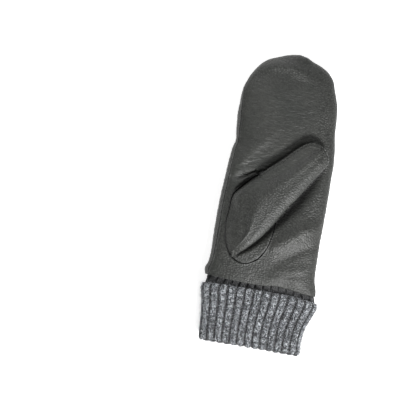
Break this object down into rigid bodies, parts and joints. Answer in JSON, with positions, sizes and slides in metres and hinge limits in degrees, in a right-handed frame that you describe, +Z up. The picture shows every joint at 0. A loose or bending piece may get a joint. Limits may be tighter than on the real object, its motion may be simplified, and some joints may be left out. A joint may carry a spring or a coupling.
{
  "type": "leather mitten",
  "caption": "Leather mitten for the left hand with a turned-back rib-knit cuff, lying palm up with its thumb folded across the palm.",
  "frame": {"origin": "on the surface the mitten lies on, under the middle of its length and width", "axes": "+Y from the cuff to the fingertips, +Z up out of the palm, -X the thumb side"},
  "size_m": [0.1106, 0.283, 0.0371],
  "materials": {
    "leather": "soft grained nappa with a low sheen",
    "knit": "marled wool, rib knitted"
  },
  "bodies": {
    "root": {"back_panel": "leather", "palm_panel": "leather", "thumb": "leather", "cuff": "knit"}
  },
  "joints": []
}
